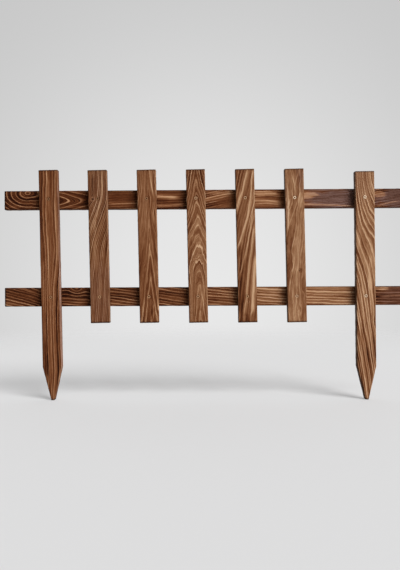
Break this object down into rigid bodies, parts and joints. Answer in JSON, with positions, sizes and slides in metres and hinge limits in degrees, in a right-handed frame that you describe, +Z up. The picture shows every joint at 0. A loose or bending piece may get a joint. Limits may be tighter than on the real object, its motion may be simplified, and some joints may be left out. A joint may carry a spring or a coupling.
{
  "type": "low wooden border fence panel",
  "caption": "Low garden border fence panel: two pointed stakes and upright slats screwed across two level rails.",
  "frame": {"origin": "middle of the left stake's blunt foot", "axes": "+X along the rails to the right, +Y to the back, where the rails are, +Z up the stakes"},
  "size_m": [0.8999, 0.036, 0.5043],
  "materials": {
    "timber_stake_left": "charred, brushed and stained brown softwood, satin oil",
    "timber_slat_1": "charred, brushed and stained brown softwood, satin oil",
    "timber_slat_2": "charred, brushed and stained brown softwood, satin oil",
    "timber_slat_3": "charred, brushed and stained brown softwood, satin oil",
    "timber_slat_4": "charred, brushed and stained brown softwood, satin oil",
    "timber_slat_5": "charred, brushed and stained brown softwood, satin oil",
    "timber_stake_right": "charred, brushed and stained brown softwood, satin oil",
    "timber_rail_upper": "charred, brushed and stained brown softwood, satin oil",
    "timber_rail_lower": "charred, brushed and stained brown softwood, satin oil",
    "screw_steel": "yellow-passivated steel, dull"
  },
  "bodies": {
    "root": {"stake_left": "timber_stake_left", "slat_1": "timber_slat_1", "slat_2": "timber_slat_2", "slat_3": "timber_slat_3", "slat_4": "timber_slat_4", "slat_5": "timber_slat_5", "stake_right": "timber_stake_right", "rail_upper": "timber_rail_upper", "rail_lower": "timber_rail_lower", "screw_stake_left_upper": "screw_steel", "screw_slat_1_upper": "screw_steel", "screw_slat_2_upper": "screw_steel", "screw_slat_3_upper": "screw_steel", "screw_slat_4_upper": "screw_steel", "screw_slat_5_upper": "screw_steel", "screw_stake_right_upper": "screw_steel", "screw_stake_left_lower": "screw_steel", "screw_slat_1_lower": "screw_steel", "screw_slat_2_lower": "screw_steel", "screw_slat_3_lower": "screw_steel", "screw_slat_4_lower": "screw_steel", "screw_slat_5_lower": "screw_steel", "screw_stake_right_lower": "screw_steel"}
  },
  "joints": []
}
